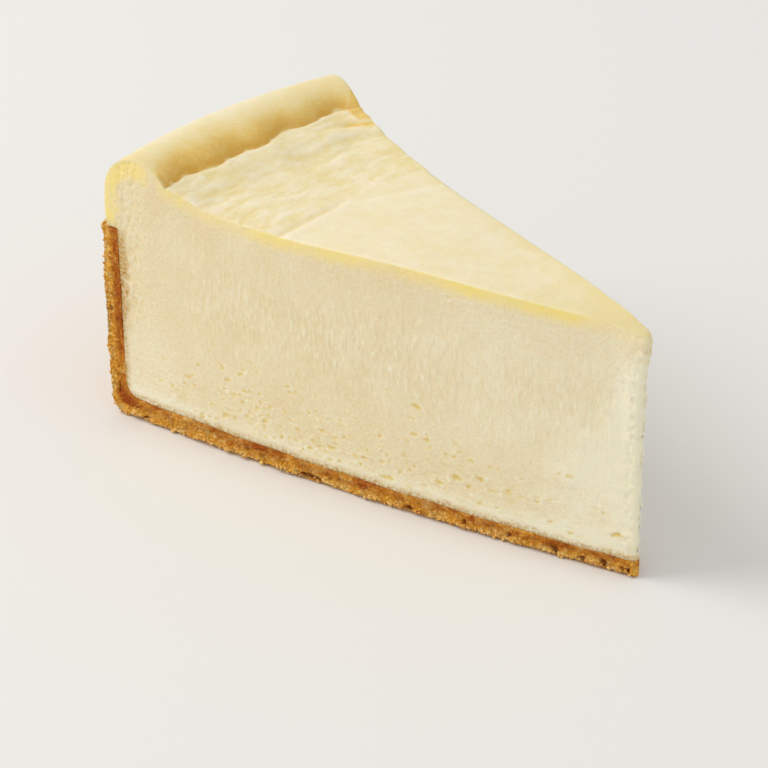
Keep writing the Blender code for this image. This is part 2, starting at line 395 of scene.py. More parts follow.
@dataclass(frozen=True)
class CutFilling(Finish):
    """Dense baked soft cheese, laid open by a wetted knife.

    It gives the eye a matt ivory face with fine upright drag marks, golden inside its small holes as
    painted shade, yellow just under the skin, and light that sinks in a little. Its glints, the pale lips
    of its pits and its paler part and edge towards the point are painted light.
    """

    name: str = "cut_baked_cheese"
    ivory: str = "E9D6AA"
    light: str = "F8F1D6"
    yellow: str = "FAE490"
    golden: str = "EAD07C"
    crumb: str = "C79B52"

    def surface(self, tree: bpy.types.NodeTree) -> dict[str, object]:
        """Adds the cut's nodes, and gives what goes into the shader's inputs."""
        add = partial(add_node, tree)
        spot = add("ShaderNodeAttribute", {"attribute_name": "cut_place"}).outputs["Vector"]
        yellowing, pit, pale, stain, dragged = (
            add("ShaderNodeAttribute", {"attribute_name": name}).outputs["Fac"]
            for name in ("yellowing", "pit", "pale", "stain", "dragged")
        )
        # Drag marks 0.55 mm wide and 1.8 mm tall; clouds 11 mm, lumps 0.8 mm and curd grain 0.35 mm across
        stretch = {"Vector": spot, "Scale": (1800.0, 550.0, 1.0)}
        upright = add("ShaderNodeMapping", {"vector_type": "POINT"}, stretch)
        drag = add(*NOISE, {"Vector": upright, "Scale": 1.0, "Detail": 2.0})
        clouds, lumps, curd = (
            add(*NOISE, {"Vector": spot, "Scale": scale, "Detail": 2.0, "Roughness": 0.6})
            for scale in (90.0, 1250.0, 2800.0)
        )
        drag = add("ShaderNodeMix", {"data_type": "FLOAT"}, {0: dragged, 2: lumps, 3: drag})
        mottle = -1.1
        for part, share in ((drag, 1.2), (curd, 1.0), (clouds, 0.6)):
            mottle = add(*TIMES_PLUS, {0: part, 1: share, 2: mottle})
        lightness = add(*SUM, {0: pale, 1: mottle})
        colour = add(*RAMP, {"Fac": lightness}, ((0.0, self.ivory), (1.0, self.light)))
        ragged, crumby = (
            add(*TIMES_HELD, {0: cover, 1: add(*TIMES_PLUS, {0: lumps, 1: contrast, 2: start})})
            for cover, contrast, start in ((yellowing, 1.1, 0.45), (stain, 3.4, -0.9))
        )
        for share, over in ((ragged, self.yellow), (pit, self.golden), (crumby, self.crumb)):
            colour = add(*OVERLAY, {0: share, 6: colour, 7: over}).outputs[2]
        height = add(*TIMES_PLUS, {0: curd, 1: 0.6, 2: drag})
        return {
            "Base Color": colour,
            "Roughness": 0.62,
            "IOR": 1.4,
            "Specular IOR Level": 0.25,
            "Subsurface Weight": 0.3,
            "Subsurface Radius": (2.4, 1.6, 0.9),
            "Subsurface Scale": 1.0 * MM,
            "Normal": add(*BUMP, {"Strength": 0.8, "Distance": 0.18 * MM, "Height": height}),
        }


@dataclass(frozen=True)
class BiscuitCrumb(Finish):
    """Crushed digestive biscuit bound with butter, pressed by hand and baked.

    It gives the eye a rough matt surface of small grains, each its own tone from caramel to pale gold,
    darker and redder where it soaked up moisture next to the filling.
    """

    name: str = "baked_biscuit_crumb"
    crevice: str = "8A4210"
    caramel: str = "DC8E2C"
    gold: str = "F2B242"
    bright: str = "FBD486"
    soaked: str = "A54C10"

    def surface(self, tree: bpy.types.NodeTree) -> dict[str, object]:
        """Adds the crumb's nodes, and gives what goes into the shader's inputs."""
        add = partial(add_node, tree)
        spot = add("ShaderNodeTexCoord").outputs["Object"]
        tone, crevice, soak = (
            add("ShaderNodeAttribute", {"attribute_name": name}).outputs["Fac"]
            for name in ("tone", "crevice", "soak")
        )
        # Meal 0.3 mm across, which also bends the borders of pressed grains 0.9 mm across
        meal = add(*NOISE, {"Vector": spot, "Scale": 3200.0, "Detail": 3.0, "Roughness": 0.65})
        bend = {0: meal.outputs["Color"], 1: (0.7 * MM, 0.7 * MM, 0.7 * MM), 2: spot}
        grid = {"Vector": add("ShaderNodeVectorMath", {"operation": "MULTIPLY_ADD"}, bend), "Scale": 1100.0}
        cell = add("ShaderNodeTexVoronoi", {"feature": "F1"}, grid).outputs["Color"]
        border = add("ShaderNodeTexVoronoi", {"feature": "DISTANCE_TO_EDGE"}, grid)
        held = {"operation": "MULTIPLY_ADD", "use_clamp": True}
        joint = add("ShaderNodeMath", held, {0: border, 1: -5.5, 2: 0.55})
        shade = -0.3
        for part, share in ((tone, 0.55), (cell, 0.6), (meal, 0.6)):
            shade = add(*TIMES_PLUS, {0: part, 1: share, 2: shade})
        colour = add(*RAMP, {"Fac": shade}, ((0.05, self.caramel), (1.0, self.bright), (0.5, self.gold)))
        wet = add(*TIMES_HELD, {0: soak, 1: add(*TIMES_PLUS, {0: meal, 1: 1.3, 2: 0.3})})
        dark = add(*TIMES_PLUS, {0: soak, 1: -0.45, 2: 0.7})
        dark = add("ShaderNodeMath", {"operation": "MULTIPLY"}, {0: joint, 1: dark})
        # The crevice value also carries the painted shade of the hollows
        dark = add("ShaderNodeMath", {"operation": "MAXIMUM"}, {0: dark, 1: crevice})
        for share, over in ((wet, self.soaked), (dark, self.crevice)):
            colour = add(*OVERLAY, {0: share, 6: colour, 7: over}).outputs[2]
        height = add(*TIMES_PLUS, {0: joint, 1: -0.8, 2: meal})
        return {
            "Base Color": colour,
            "Roughness": 0.78,
            "IOR": 1.45,
            "Specular IOR Level": 0.15,
            "Normal": add(*BUMP, {"Strength": 0.8, "Distance": 0.2 * MM, "Height": height}),
        }


@dataclass(frozen=True)
class PlainFloor(Finish):
    """A smooth painted studio floor, pale and matt, which gives soft shadows and no reflections."""

    name: str = "plain_floor"
    colour: str = "ECECEB"

    def surface(self, tree: bpy.types.NodeTree) -> dict[str, object]:
        """What goes into the shader's inputs."""
        return {"Base Color": self.colour, "Roughness": 0.7, "Specular IOR Level": 0.2}


# The cake


@dataclass(frozen=True)
class WedgePlan:
    """The cake in plan, and the wedge cut from it."""

    radius: float = 127.0 * MM
    angle: float = radians(27.5)
    point_radius: float = 1.2 * MM
    near_bow_at_base: float = 2.8 * MM
    near_bow_at_top: float = 2.3 * MM
    far_bow: float = -0.6 * MM
    bow_height: float = 52.3 * MM
    lip_reach: float = 1.5 * MM
    lip_height: float = 50.5 * MM
    lip_spread: float = 5.0 * MM
    point_blend: float = 6.0 * MM
    # From the lip's tip and the ground to the place where the cuts would cross
    centre_past_lip: float = 2.456 * MM
    centre_aside: float = 0.0207 * MM
    centre_lift: float = 0.1007 * MM

    @property
    def half_angle(self) -> float:
        """Half of the wedge's angle."""
        return self.angle / 2

    @property
    def point_tangent(self) -> float:
        """The radius at which the point's rounding meets the cuts."""
        return self.point_radius / tan(self.half_angle)

    @property
    def point_centre(self) -> float:
        """The radius at which the middle of the point's rounding lies."""
        return self.point_radius / sin(self.half_angle)

    @property
    def point_inset(self) -> float:
        """The inset at which the point's rounding starts."""
        return self.radius - self.point_tangent

    def centre(self) -> Vector:
        """The cake's centre in the row frame."""
        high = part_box("cheese_filling")[1]
        return Vector((high.x + self.centre_past_lip, self.centre_aside, self.centre_lift))

    def bow(self, radius: Array, height: Array, share: Array) -> Array:
        """How far the cuts stand out sideways at a radius and height, scaled to the share."""
        way = (radius - self.point_tangent) / (self.radius - self.point_tangent)
        near = mix(self.near_bow_at_base, self.near_bow_at_top, height / self.bow_height)
        return share * 4 * way * (1 - way) * np.where(share > 0, near, self.far_bow)

    def lip(self, height: Array) -> Array:
        """How far the skin's lip overhangs the point at a height."""
        return self.lip_reach * swell(height, self.lip_height, self.lip_spread)

    def place(self, inset: Array, height: Array, share: Array) -> Array:
        """The coordinates of places in the cake, measured from the cake's centre."""
        radius = self.radius - inset
        angle = share * self.half_angle
        ray = -stack(np.cos(angle), np.sin(angle))
        turn = share * (pi / 2 - self.half_angle)
        rounding = stack(
            self.point_radius * np.cos(turn) - self.point_centre + self.lip(height),
            -self.point_radius * np.sin(turn),
        )
        nearness = smooth(1 - (radius - self.point_tangent) / self.point_blend)[:, None]
        plan = ray * radius[:, None] + (rounding - ray * self.point_tangent) * nearness
        return stack(plan[:, 0], plan[:, 1] - self.bow(radius, height, share), height)

    def arc_length(self, inset: Array, share: Array) -> Array:
        """How far round the cake a place lies from the wedge's middle."""
        return share * self.half_angle * (self.radius - inset)


def share_of(across: Array, count: int, closeness: float) -> Array:
    """Shares of the half angle at steps across the wedge.

    Args:
        across: The steps.
        count: How many there are in all.
        closeness: How much closer together they lie at the cuts, from 0 to below 1.

    Returns:
        Shares from -1 to 1.
    """
    way = 2 * across / count - 1
    return way + closeness * np.sin(pi * way) / pi


@dataclass(frozen=True)
class CrumbCrust:
    """The pressed crumb base with its upturned side wall, an L in section, and its grains."""

    plan: WedgePlan
    wall_height: float = 42.5 * MM
    wall_thickness: float = 3.8 * MM
    wall_inset_at_top: float = 0.2 * MM
    wall_inset_at_base: float = 1.6 * MM
    base_at_edge: float = 5.0 * MM
    base_at_point: float = 3.5 * MM
    base_wave: float = 0.1 * MM
    base_grain: float = 0.08 * MM
    base_grain_length: float = 3.1 * MM
    base_wave_length: float = 19.0 * MM
    outer_corner: float = 3.2 * MM
    inner_corner: float = 3.6 * MM
    crag_depth: float = 0.7 * MM
    crag_size: float = 4.2 * MM
    edge_wear: float = 0.7 * MM
    wall_steps: int = 86
    corner_steps: int = 10
    base_steps: int = 230
    across_steps: int = 66
    depth_steps: int = 9
    across_closeness: float = 0.55
    # Pressed grains, and the smaller meal between them
    grain_size: float = 0.8 * MM
    grain_relief: float = 0.24 * MM
    lump_size: float = 2.4 * MM
    lump_relief: float = 0.22 * MM
    wall_swell: float = 0.55 * MM
    meal_size: float = 0.55 * MM
    meal_relief: float = 0.12 * MM
    hole_size: float = 1.9 * MM
    hole_depth: float = 0.9 * MM

    def wall_inset(self, height: Array) -> Array:
        """The inset of the crust's outer face, which leans in towards its foot."""
        lean = self.wall_inset_at_base - self.wall_inset_at_top
        return self.wall_inset_at_base - lean * height / self.wall_height

    def base_top(self, inset: Array) -> Array:
        """The height of the base's upper face, which thins towards the point and waves a little."""
        slope = mix(self.base_at_edge, self.base_at_point, inset / self.plan.radius)
        ways = np.atleast_1d(inset)
        grain = self.base_grain * noise_at(stack(ways, 0, 0), self.base_grain_length).reshape(np.shape(inset))
        return slope + self.base_wave * np.sin(2 * pi * inset / self.base_wave_length) + grain

    def inner_line(self, offset: float) -> Stretches:
        """The crust's inner line, moved into the filling, from the wall's top down and in to the point."""
        face = self.wall_thickness + offset
        radius = self.inner_corner - offset
        foot_height = self.base_top(self.wall_inset_at_base + face + radius) + offset + radius
        foot = np.array((self.wall_inset(foot_height) + face, foot_height))
        top = np.array((self.wall_inset(self.wall_height) + face, self.wall_height))
        middle = foot + (radius, 0)

        def base(share: Array) -> Array:
            """The points along the base."""
            inset = mix(middle[0], self.plan.point_inset, share)
            return stack(inset, self.base_top(inset) + offset)

        return (
            (self.wall_steps, line(top, foot)),
            (self.corner_steps, arc(middle, radius, pi, 1.5 * pi)),
            (self.base_steps, base),
        )

    def outer_line(self) -> Stretches:
        """The crust's outer line, from the wall's top down and along the underside to the point."""
        foot = np.array((self.wall_inset(self.outer_corner), self.outer_corner))
        top = np.array((self.wall_inset(self.wall_height), self.wall_height))
        middle = foot + (self.outer_corner, 0)
        heel = middle - (0, self.outer_corner)
        return (
            (self.wall_steps, line(top, foot)),
            (self.corner_steps, arc(middle, self.outer_corner, pi, 1.5 * pi)),
            (self.base_steps, line(heel, np.array((self.plan.point_inset, 0)))),
        )

    def grains(self, places: Array) -> Array:
        """The relief of pressed grains, from -1 in the joints to 1 on a crown."""
        relief = []
        for spot in (places / self.grain_size).tolist():
            nearest, next_nearest = noise.voronoi(spot)[0][:2]
            relief.append(min(1.0, 2.2 * (next_nearest - nearest)) * 2 - 1 - 0.5 * nearest)
        return np.array(relief)

    def build(self, finish: bpy.types.Material, loose: bpy.types.Material) -> list[bpy.types.Object]:
        """The crust's piece and its grains.

        Args:
            finish: The finish of pressed crumb.
            loose: The finish of loose crumb.

        Returns:
            The pieces' objects.
        """
        upright = self.wall_steps + self.corner_steps
        steps, across_steps, depth_steps = upright + self.base_steps, self.across_steps, self.depth_steps
        mesh = gridded_block((steps, across_steps, depth_steps))
        refine(mesh, lambda co: co.y < NEAR or co.y > across_steps - NEAR)
        refine(mesh, lambda co: co.z < NEAR and co.x <= upright)
        step, across, depth = places_of(mesh).T
        share = share_of(across, across_steps, self.across_closeness)
        depth_share = depth / depth_steps
        section = between(along(self.outer_line(), step), along(self.inner_line(0), step), depth_share)
        inset, height = section.T
        put(mesh, self.plan.place(inset, height, share))
        bmesh.ops.reverse_faces(mesh, faces=mesh.faces)
        on_cut = np.abs(share) > 0.9999
        on_wall, on_top = step < upright, step < NEAR
        below = (depth < NEAR) & ~on_wall
        outside = (depth < NEAR) & on_wall
        inside = depth > depth_steps - NEAR
        soften(mesh, (on_cut & (outside | inside | below)) | (on_top & (outside | inside | on_cut)), 1)

        # The relief fades out on the cuts towards the filling, and is lower near the wall's top
        rough = np.where(outside | ((on_cut | on_top) & ~inside), 1.0, 0.0)
        rough = np.where(on_cut, rough * rise(1, depth_share, 0.3), rough)
        coarse = 0.55 + 0.45 * smooth((self.wall_height - 6 * MM - height) / (6 * MM))
        places, normals = places_of(mesh), normals_of(mesh)
        crown = self.grains(places)
        ripple = partial(noise_at, places)
        meal = ripple(self.meal_size)
        # Hollows lie in the outer half of the cuts, more of them towards the point and none by the wall's top
        sparse = np.where(inset > 45 * MM, 0.29, 0.38)
        holes = smooth((ripple(self.hole_size, 40.0) - sparse) / 0.22)
        holes = holes * np.where(on_cut, 1 - rise(depth_share, 0.45, 0.25), 0.3)
        holes *= np.where(height > self.wall_height - 4 * MM, 0.0, 1.0)
        relief = 0.7 * self.crag_depth * ripple(self.crag_size)
        relief += self.lump_relief * ripple(self.lump_size, 12.0)
        relief += self.wall_swell * swell(height, 0.5 * self.wall_height, 0.42 * self.wall_height) * outside
        relief += self.grain_relief * (crown - 0.6) * 0.5 + self.meal_relief * meal
        relief -= self.hole_depth * holes
        places = places + normals * (relief * rough * np.where(on_cut, coarse, 1.0))[:, None]
        # The lower edge of the cuts is worn off a little
        ripple = partial(noise_at, places)
        wear = self.edge_wear * (1 + ripple(self.crag_size))
        from_cut = (1 - np.abs(share)) * self.plan.half_angle * (self.plan.radius - inset)
        near_edge = np.where(on_wall, 0.0, 1 - smooth(from_cut / (1.3 * MM)))
        places[:, 2] = np.where(depth < 1.01, np.maximum(places[:, 2], wear * near_edge), places[:, 2])
        put(mesh, within_solids(places + np.array(self.plan.centre())))

        # Crumb next to the filling is soaked: evenly in the wall, and in patches in the base
        wander = 0.2 * meal + 0.14 * ripple(self.crag_size, 31.0)
        soak = np.where(on_wall, smooth((depth_share - 0.26 + wander) / 0.26), 0.0)
        soak *= 0.8 + 0.9 * ripple(1.5 * self.crag_size, 33.0)
        patchy = 0.6 + 0.6 * ripple(2.3 * self.lump_size, 37.0) + 0.5 * ripple(self.hole_size, 39.0)
        patchy += 0.35 * ripple(self.grain_size, 41.0)
        soak = np.maximum(soak, patchy * smooth((depth_share - 0.3 + wander) / 0.4))
        # Hollows are painted dark as shade; the joints between pressed grains are darker crumb
        crevice = np.clip(smooth((-crown - 0.7) / 0.9) * 0.35 + 0.85 * holes, 0, 1) * rough
        # The base is paler along its lower edge, partly lighter crumb and partly painted highlights on its
        # lumps, and the wall's cuts are a little darker
        lower_edge = np.where(on_cut, 1 - smooth(depth_share / 0.5), 0.0)
        tone = 0.5 + 0.5 * ripple(self.lump_size, 35.0) + 0.25 * crown
        tone += 0.45 * ripple(self.grain_size, 36.0) * on_cut
        paler = (0.35 + 0.8 * ripple(self.hole_size, 38.0)) * lower_edge
        tone += paler - np.where(on_wall, 0.22, 0.0) * on_cut
        values = {"tone": np.clip(tone, 0, 1), "crevice": crevice, "soak": np.clip(soak, 0, 1)}
        piece = make_piece("pressed_crumb_crust", mesh, [finish], Slot.CRUMB, values)
        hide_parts("crumb_crust")

        # Loose grains lie on the outer face, and on the cuts along their outer edge
        thickly = rough * np.where(on_cut, 1.6 * (1 - rise(depth_share, 0.12, 0.22)), 1.0)
        lower = np.where(on_cut & (step > upright), 1.0, 0.0) * (1 - smooth(depth_share / 0.4))
        weights = (thickly + 1.2 * lower) * np.where(on_cut, 0.16, 0.45)
        grains = CrumbGrains().build(GrainKind.PRESSED, places_of_piece(piece), normals, weights, loose, 11)
        return [piece, grains]


class GrainKind(Enum):
    """A kind of grain: its piece's name, the number, the radius from and to in millimetres, and how sunk."""

    PRESSED = ("golden_crumb_grains", 4200, 0.2, 0.66, 0.45)
    DRAGGED = ("dragged_crumbs", 40, 0.14, 0.3, 0.3)


@dataclass(frozen=True)
class CrumbGrains:
    """Single grains of crushed biscuit, as one joined mesh for each kind."""

    batch: int = 60
    jitter: float = 0.15 * MM
    chip_size: float = 0.45 * MM
    chip_depth: float = 0.09 * MM

    def build(
        self,
        kind: GrainKind,
        places: Array,
        normals: Array,
        weights: Array,
        finish: bpy.types.Material,
        seed: int,
    ) -> bpy.types.Object:
        """A piece of grains strewn over a surface.

        Args:
            kind: Which kind of grain.
            places: Points of the surface.
            normals: Its outward normals there.
            weights: How thickly the grains lie at each point.
            finish: Their material.
            seed: The draw of their places, sizes, tones and chips.

        Returns:
            The piece's object.
        """
        name, count, least, greatest, sunk = kind.value
        draw = Random(seed)
        noise.seed_set(seed)
        chosen = draw.choices(range(len(places)), weights=weights.tolist(), k=count)
        joined, tones = bmesh.new(), []
        for start in range(0, count, self.batch):
            part = bmesh.new()
            for number in chosen[start : start + self.batch]:
                radius = mix(least, greatest, draw.random() ** 2) * MM
                angle = draw.uniform(0, 2 * pi)
                turn = Matrix.Rotation(angle, 4, Vector([draw.gauss(0, 1) for _ in range(3)]))
                sizes = [draw.uniform(*limits) for limits in ((0.8, 1.3), (0.7, 1.1), (0.55, 0.9))]
                jitter = np.array([draw.gauss(0, self.jitter) for _ in range(3)])
                spot = places[number] - normals[number] * radius * sunk + jitter
                tone = draw.random()
                shape = Matrix.Translation(spot) @ turn @ Matrix.Diagonal((*sizes, 1))
                made = bmesh.ops.create_icosphere(part, subdivisions=1, radius=radius, matrix=shape)
                tones += [tone] * len(made["verts"])
            for vert in part.verts:
                vert.co += noise.noise_vector(vert.co / self.chip_size) * self.chip_depth
            data = bpy.data.meshes.new("grain_batch")
            part.to_mesh(data)
            part.free()
            joined.from_mesh(data)
            bpy.data.meshes.remove(data)
        bmesh.ops.recalc_face_normals(joined, faces=joined.faces)
        put(joined, within_solids(places_of(joined)))
        tones = np.array(tones)
        values = {"tone": tones, "crevice": np.zeros_like(tones), "soak": np.zeros_like(tones)}
        return make_piece(name, joined, [finish], Slot.CRUMB, values)


@dataclass(frozen=True)
class Pit:
    """A hole torn in a cut, in millimetres: where it is, its width and height, depth and tilt in degrees."""

    inset: float
    height: float
    width: float
    tall: float
    depth: float
    tilt: float = 0.0


# The pits that stand out on the near cut
SEEN_PITS = tuple(
    Pit(*row)
    for row in (
        (82.7, 50.1, 0.8, 0.5, 0.2), (83.3, 49.0, 0.5, 0.38, 0.16), (94.7, 48.0, 0.6, 0.42, 0.16),
        (75.9, 24.3, 1.5, 0.83, 0.48, -12), (67.8, 15.4, 1.0, 0.6, 0.32, -10),
        (75.6, 18.0, 1.1, 0.65, 0.32, 10), (78.3, 17.7, 1.1, 0.6, 0.32, -15), (51.7, 7.7, 1.3, 0.6, 0.36),
        (56.5, 9.2, 1.1, 0.6, 0.32, -20), (57.6, 10.5, 0.9, 0.5, 0.24), (81.5, 9.0, 1.4, 0.6, 0.4, -8),
        (85.1, 11.2, 1.6, 0.87, 0.48, -6), (90.4, 12.4, 1.4, 0.78, 0.48, 14),
        (87.7, 10.0, 1.0, 0.6, 0.44, 40), (70.2, 6.7, 1.8, 0.6, 0.32, -10), (72.5, 8.7, 0.9, 0.5, 0.24),
        (68.3, 9.7, 0.8, 0.51, 0.28), (56.2, 6.4, 1.1, 0.5, 0.28), (88.2, 16.0, 1.0, 0.5, 0.24, -8),
        (92.3, 15.8, 1.0, 0.5, 0.24, 25), (94.2, 16.0, 0.8, 0.5, 0.24, 30), (85.4, 17.1, 1.1, 0.4, 0.2, 5),
        (93.2, 10.6, 1.8, 0.4, 0.16, 2), (96.3, 10.9, 1.4, 0.35, 0.13, 7),
        (99.0, 11.0, 1.5, 0.35, 0.13, -3), (102.4, 12.1, 1.6, 0.35, 0.14, 9),
        (105.2, 12.4, 1.1, 0.35, 0.11, 2), (109.3, 18.7, 1.1, 0.65, 0.2, 20),
        (34.7, 19.1, 1.0, 0.6, 0.32, 30), (31.7, 16.8, 1.2, 0.69, 0.36, 10),
        (35.8, 15.6, 1.0, 0.6, 0.32, -25), (33.4, 14.1, 0.9, 0.56, 0.24), (39.0, 12.7, 0.9, 0.56, 0.24),
        (30.8, 8.5, 1.6, 0.8, 0.28, 30), (40.9, 10.4, 1.1, 0.6, 0.28), (119.2, 8.5, 2.0, 0.7, 0.48, 4),
        (123.2, 7.3, 1.5, 0.7, 0.48, 22), (116.3, 12.6, 0.8, 0.51, 0.24, -30),
    )
)


@dataclass(frozen=True)
class Groove:
    """A groove along the rim, in millimetres: (share, inset) places, width, depth and how much painted shade
    browns it.
    """

    way: tuple[tuple[float, float], ...]
    width: float
    depth: float
    brown: float


# The last fold in the skin, the fainter one that goes on from it, and the second crease by the far cut
LAST_FOLD = Groove(((0.02, 44.2), (0.25, 44.9), (0.6, 44.7), (1.0, 44.3)), 0.8, 0.3, 0.16)
FAINT_FOLD = Groove(((-0.95, 49.8), (-0.55, 48.8), (-0.2, 47.0), (0.0, 45.6)), 0.9, 0.16, 0.06)
SECOND_CREASE = Groove(((-1.0, 22.6), (-0.93, 22.3), (-0.8, 20.8), (-0.7, 20.5)), 1.2, 0.5, 0.62)
CREASE_TAIL = Groove(((-0.88, 21.6), (-0.8, 21.0), (-0.6, 20.4), (-0.45, 20.6)), 0.9, 0.25, 0.22)


@dataclass(frozen=True)
class CheeseFilling:
    """The baked filling with its rolled rim, its skin, and its two cuts."""

    plan: WedgePlan
    crust: CrumbCrust
    gap: float = 0.02 * MM
    side_inset: float = 1.2 * MM
    side_bulge: float = 0.3 * MM
    side_reach: float = 14.0 * MM
    rim_height: float = 58.8 * MM
    rim_inset: float = 9.0 * MM
    rim_rise: float = 8.5 * MM
    rim_outer_width: float = 8.1 * MM
    shoulder_angle: float = radians(135)
    crease_inset_mean: float = 17.0 * MM
    crease_angle: float = radians(33)
    # Each wave is its swing, its length and its start, as shares of the way from near cut to far cut
    crease_waves: tuple[tuple[float, float, float], ...] = ((1.2 * MM, 0.96, 0.16), (0.6 * MM, 0.25, 0.19))
    top: float = 52.3 * MM
    bank_width: float = 8.0 * MM
    dome_rise: float = 1.6 * MM
    dome_start: float = 38.0 * MM
    dome_length: float = 39.0 * MM
    far_swell: float = 0.5 * MM
    far_swell_crest: float = 29.0 * MM
    far_swell_length: float = 75.0 * MM
    top_grading: float = 1.2
    fold_height: float = 0.35 * MM
    fold_width: float = 6.0 * MM
    fold_length: float = 26.0 * MM
    last_fold_inset: float = 47.0 * MM
    fold_edge: float = 6.0 * MM
    lip_droop: float = 1.0 * MM
    # The grid
    corner_rows: int = 5
    base_steps: int = 171
    rim_steps: int = 38
    wall_rows: int = 38
    ledge_rows: int = 2
    side_rows: int = 12
    shoulder_rows: int = 10
    across_steps: int = 46
    across_closeness: float = 0.35
    outline_points: int = 700
    small_pits: int = 150

    @property
    def steps(self) -> int:
        """The grid's steps from the side in to the point."""
        return self.corner_rows + self.base_steps

    @property
    def ledge_end(self) -> int:
        """The row at which the ledge over the crust's wall ends."""
        return self.corner_rows + self.wall_rows + self.ledge_rows

    @property
    def rows(self) -> int:
        """The grid's rows from the floor up to the top."""
        return self.ledge_end + self.side_rows + self.shoulder_rows

    def crease_inset(self, share: Array) -> Array:
        """The inset of the crease, which wanders on its way round the cake."""
        way = (1 - share) / 2
        inset = self.crease_inset_mean
        for swing, length, start in self.crease_waves:
            inset = inset + swing * np.sin(2 * pi * (way - start) / length)
        return inset

    def rim(self, angle: Array, share: Array) -> Array:
        """Points on the rim's roll at angles. An angle of 0 points inwards and pi / 2 up."""
        inner_width = (self.crease_inset(share) - self.rim_inset) / cos(self.crease_angle)
        width = np.where(angle < pi / 2, inner_width, self.rim_outer_width)
        centre_height = self.rim_height - self.rim_rise
        return stack(self.rim_inset + width * np.cos(angle), centre_height + self.rim_rise * np.sin(angle))

    def skin_fold(self, inset: Array, share: Array) -> Array:
        """The height of the low folds in the skin, which run along the rim and die out at the last one."""
        places = stack(inset / self.fold_width, self.plan.arc_length(inset, share) / self.fold_length, 0)
        start = rise(inset, self.crease_inset_mean, self.fold_edge)
        end = rise(self.last_fold_inset, inset, self.fold_edge)
        return self.fold_height * noise_at(places, 1.0) * start * end

    def top_height(self, inset: Array, share: Array) -> Array:
        """The height of the top inside the crease."""
        crease = self.crease_inset(share)
        shore = self.rim(np.full_like(share, self.crease_angle), share)[:, 1]
        bank = (shore - self.top) * swell(inset, crease, self.bank_width)
        dome = self.dome_rise * rise(inset, self.dome_start, self.dome_length)
        crest = np.cos(2 * pi * (inset - self.far_swell_crest) / self.far_swell_length)
        far = self.far_swell * crest * np.maximum(-share, 0) * rise(inset, crease, self.bank_width)
        droop = self.lip_droop * smooth(1 - (self.plan.point_inset - inset) / self.plan.point_blend)
        return self.top + bank + dome + far + self.skin_fold(inset, share) - droop

    def floor_line(self) -> Stretches:
        """The filling's underside, from the middle of its rounded corner in to the point."""
        _, corner, base = self.crust.inner_line(self.gap)
        return ((self.corner_rows, lambda share: corner[1](mix(0.5, 1, share))), (self.base_steps, base[1]))

    def roof_line(self, share: Array) -> Stretches:
        """The filling's top at shares of the angle, from the rim's shoulder over the crease to the point."""

        def top(way: Array) -> Array:
            """The points inside the crease."""
            inset = mix(self.crease_inset(share), self.plan.point_inset, way**self.top_grading)
            return stack(inset, self.top_height(inset, share))

        return (
            (self.rim_steps, lambda way: self.rim(mix(self.shoulder_angle, self.crease_angle, way), share)),
            (self.steps - self.rim_steps, top),
        )

    def side_line(self, share: Array) -> Stretches:
        """The filling's outer side, up from its corner, out over the crust's wall and up to the shoulder."""
        wall, corner, _ = self.crust.inner_line(self.gap)
        ledge_height = self.crust.wall_height + self.gap
        foot, under = wall[1](np.array((1.0, 0.0)))
        under = np.array((under[0], ledge_height))
        over = np.array((self.side_inset, ledge_height))
        springing = self.rim(np.full_like(share, pi), share)

        def side(way: Array) -> Array:
            """The points above the ledge, bulging out a little."""
            return over + (springing - over) * way[:, None] - stack(self.side_bulge * np.sin(pi * way), 0)

        return (
            (self.corner_rows, lambda way: corner[1](mix(0.5, 0, way))),
            (self.wall_rows, line(foot, under)),
            (self.ledge_rows, line(under, over)),
            (self.side_rows, side),
            (self.shoulder_rows, lambda way: self.rim(mix(pi, self.shoulder_angle, way), share)),
        )

    def section(self, step: Array, row: Array, share: Array) -> Array:
        """The filling's points at steps in from its side and rows up from its floor."""
        floor, roof, side = self.floor_line(), self.roof_line(share), self.side_line(share)
        rise = (row / self.rows)[:, None]
        zero = np.zeros_like(step)
        here = mix(along(floor, step), along(roof, step), rise)
        at_side = mix(along(floor, zero), along(roof, zero), rise)
        fade = np.exp(-(((here - at_side)[:, :1] / self.side_reach) ** 2))
        return here + (along(side, row) - at_side) * fade

    def skin_distance(self, section: Array, share: Array, chosen: Array) -> Array:
        """How deep under the skin's outline the chosen points of a cut lie, in metres."""
        depth = np.zeros(len(section))
        count = self.outline_points
        for side in (-1.0, 1.0):
            roof = along(self.roof_line(np.full(count, side)), np.linspace(0, self.steps, count))
            rows = np.linspace(self.ledge_end + NEAR, self.rows, count)
            flank = along(self.side_line(np.full(count, side)), rows)
            outline = np.concatenate((roof, flank))
            tree = kdtree.KDTree(len(outline))
            for number, (inset, height) in enumerate(outline.tolist()):
                tree.insert((inset, height, 0), number)
            tree.balance()
            for number in np.nonzero(chosen & (share * side > 0))[0].tolist():
                depth[number] = tree.find((*section[number].tolist(), 0))[2]
        return depth

    def groove_line(self, groove: Groove, share: Array) -> tuple[Array, Array]:
        """A groove's inset at shares, and how strong it is there, from 0 past its ends to 1."""
        ways = np.array(groove.way)
        inset = np.interp(share, ways[:, 0], ways[:, 1]) * MM
        within = np.minimum(share - ways[0, 0], ways[-1, 0] - share)
        open_end = np.where(np.abs(share) > 0.9, 1.0, smooth(within / 0.12))
        return inset, np.where(within < -0.001, 0.0, open_end)

